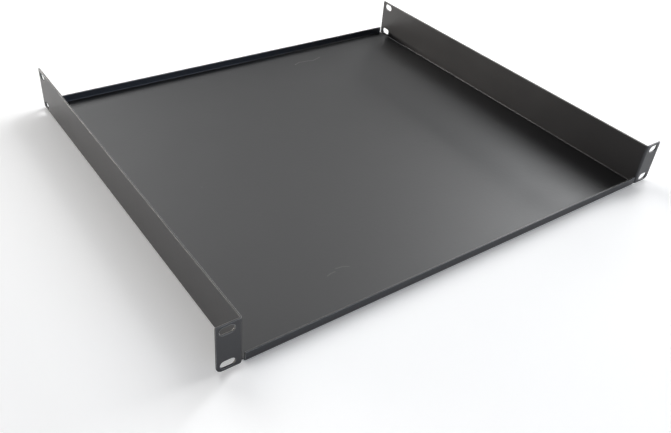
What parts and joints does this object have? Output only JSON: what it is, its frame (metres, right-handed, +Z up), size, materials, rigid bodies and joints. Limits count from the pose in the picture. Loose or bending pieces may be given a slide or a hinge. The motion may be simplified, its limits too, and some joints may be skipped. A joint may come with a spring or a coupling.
{
  "type": "cantilever rack shelf",
  "caption": "Shallow steel tray folded from one sheet, with rack ears at the front, full-height side walls, low front and rear lips, and bolt slots in the ears and the rear ends of the walls.",
  "frame": {"origin": "middle of the shelf's outline seen from above, in the plane of the floor's underside", "axes": "+X across the rack towards the right-hand ear as seen from the front, +Y from the ears back into the rack, +Z up"},
  "size_m": [0.4826, 0.4064, 0.044],
  "materials": {
    "black_coated_steel": "satin black powder coat with a fine, even grain"
  },
  "bodies": {
    "root": {"rack_shelf": "black_coated_steel"}
  },
  "joints": []
}
